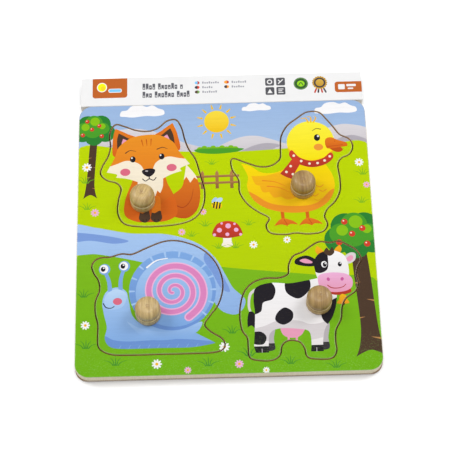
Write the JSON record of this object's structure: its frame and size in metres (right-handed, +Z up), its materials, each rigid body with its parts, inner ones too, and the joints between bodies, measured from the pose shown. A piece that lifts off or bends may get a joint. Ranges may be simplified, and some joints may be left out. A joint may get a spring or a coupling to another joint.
{
  "type": "wooden peg puzzle",
  "caption": "Flat wooden peg puzzle: a framed board with cut-out pieces that lift out by big turned knobs, and a folded card header behind it.",
  "frame": {"origin": "centre of the board's underside, where the puzzle lies on a table", "axes": "+X to the right of the picture, +Y towards the picture's top and the header card, +Z up out of the printed face"},
  "size_m": [0.3, 0.334, 0.0333],
  "materials": {
    "printed_ply": "printed plywood with a thin satin lacquer",
    "hardboard": "raw brown board",
    "card": "white coated card",
    "beech": "turned and clear lacquered",
    "screw_steel": "zinc plated"
  },
  "bodies": {
    "board": {"frame_board": "printed_ply", "backboard": "hardboard"},
    "fox": {"fox_piece": "printed_ply", "fox_knob": "beech", "fox_screw": "screw_steel"},
    "duck": {"duck_piece": "printed_ply", "duck_knob": "beech", "duck_screw": "screw_steel"},
    "snail": {"snail_piece": "printed_ply", "snail_knob": "beech", "snail_screw": "screw_steel"},
    "cow": {"cow_piece": "printed_ply", "cow_knob": "beech", "cow_screw": "screw_steel"},
    "header": {"header_card": "card"}
  },
  "joints": [
    {"name": "fox_lift", "type": "slide", "parent": "board", "child": "fox", "axis": [0, 0, 1], "range_m": [0, 0.05]},
    {"name": "duck_lift", "type": "slide", "parent": "board", "child": "duck", "axis": [0, 0, 1], "range_m": [0, 0.05]},
    {"name": "snail_lift", "type": "slide", "parent": "board", "child": "snail", "axis": [0, 0, 1], "range_m": [0, 0.05]},
    {"name": "cow_lift", "type": "slide", "parent": "board", "child": "cow", "axis": [0, 0, 1], "range_m": [0, 0.05]},
    {"name": "header_slide", "type": "slide", "parent": "board", "child": "header", "axis": [0, 1, 0], "range_m": [0, 0.06]}
  ]
}
